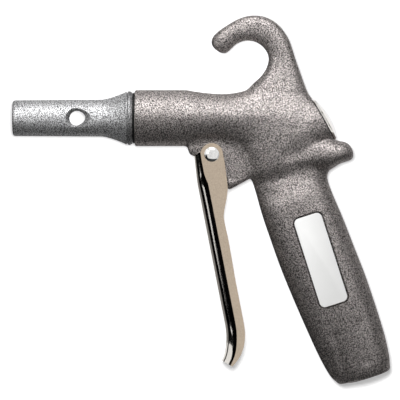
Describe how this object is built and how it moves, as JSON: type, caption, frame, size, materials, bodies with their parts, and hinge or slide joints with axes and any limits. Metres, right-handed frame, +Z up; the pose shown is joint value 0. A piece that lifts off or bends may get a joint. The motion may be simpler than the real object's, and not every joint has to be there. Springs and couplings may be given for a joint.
{
  "type": "pneumatic air duster",
  "caption": "Pistol-grip safety blow gun: cast body with hanging hook, side-vented nozzle, channel lever on a pivot pin, spring-closed poppet valve under a domed cap.",
  "frame": {"origin": "centre of the nozzle mouth, on the barrel axis", "axes": "+X back along the barrel from the nozzle mouth, +Z up towards the hook, Y across the width; the lever hangs in front of the grip"},
  "size_m": [0.1885, 0.0274, 0.1839],
  "materials": {
    "body_casting": "fine-speckled warm grey powder coat",
    "nozzle_metal": "blasted, satin",
    "plated_steel": "bright nickel",
    "pin_steel": "bright",
    "valve_steel": "turned",
    "brass": "turned",
    "seal_rubber": "matt black",
    "spring_steel": "drawn wire",
    "cap_metal": "polished",
    "label": "bare white"
  },
  "bodies": {
    "gun": {"body": "body_casting", "nozzle": "nozzle_metal", "nozzle_gasket": "seal_rubber", "nozzle_jet": "brass", "stem_bushing": "brass", "stem_o_ring": "seal_rubber", "bushing_o_ring": "seal_rubber", "valve_seat": "brass", "seat_o_ring": "seal_rubber", "valve_spring": "spring_steel", "valve_cap": "cap_metal", "cap_gasket": "seal_rubber", "label_plate": "label"},
    "lever": {"lever": "plated_steel", "pivot_pin": "pin_steel", "pin_retainer": "pin_steel"},
    "stem": {"valve_stem": "valve_steel", "poppet": "brass", "poppet_seal": "seal_rubber", "stem_nut": "valve_steel"}
  },
  "joints": [
    {"name": "lever_pivot", "type": "hinge", "parent": "gun", "child": "lever", "pos_m": [0.0994, 0, -0.01825], "axis": [0, -1, 0], "range_deg": [0, 12], "stiffness_Nm_per_rad": 0.85, "springref_deg": -18.91},
    {"name": "valve_slide", "type": "slide", "parent": "gun", "child": "stem", "axis": [0.8729, 0, 0.4879], "range_m": [0, 0.003], "stiffness_N_per_m": 150, "springref_m": -0.004, "deforming": ["valve_spring"]}
  ],
  "couplings": [
    {"joint": "valve_slide", "follows": "lever_pivot", "m_per_rad": 0.014}
  ]
}
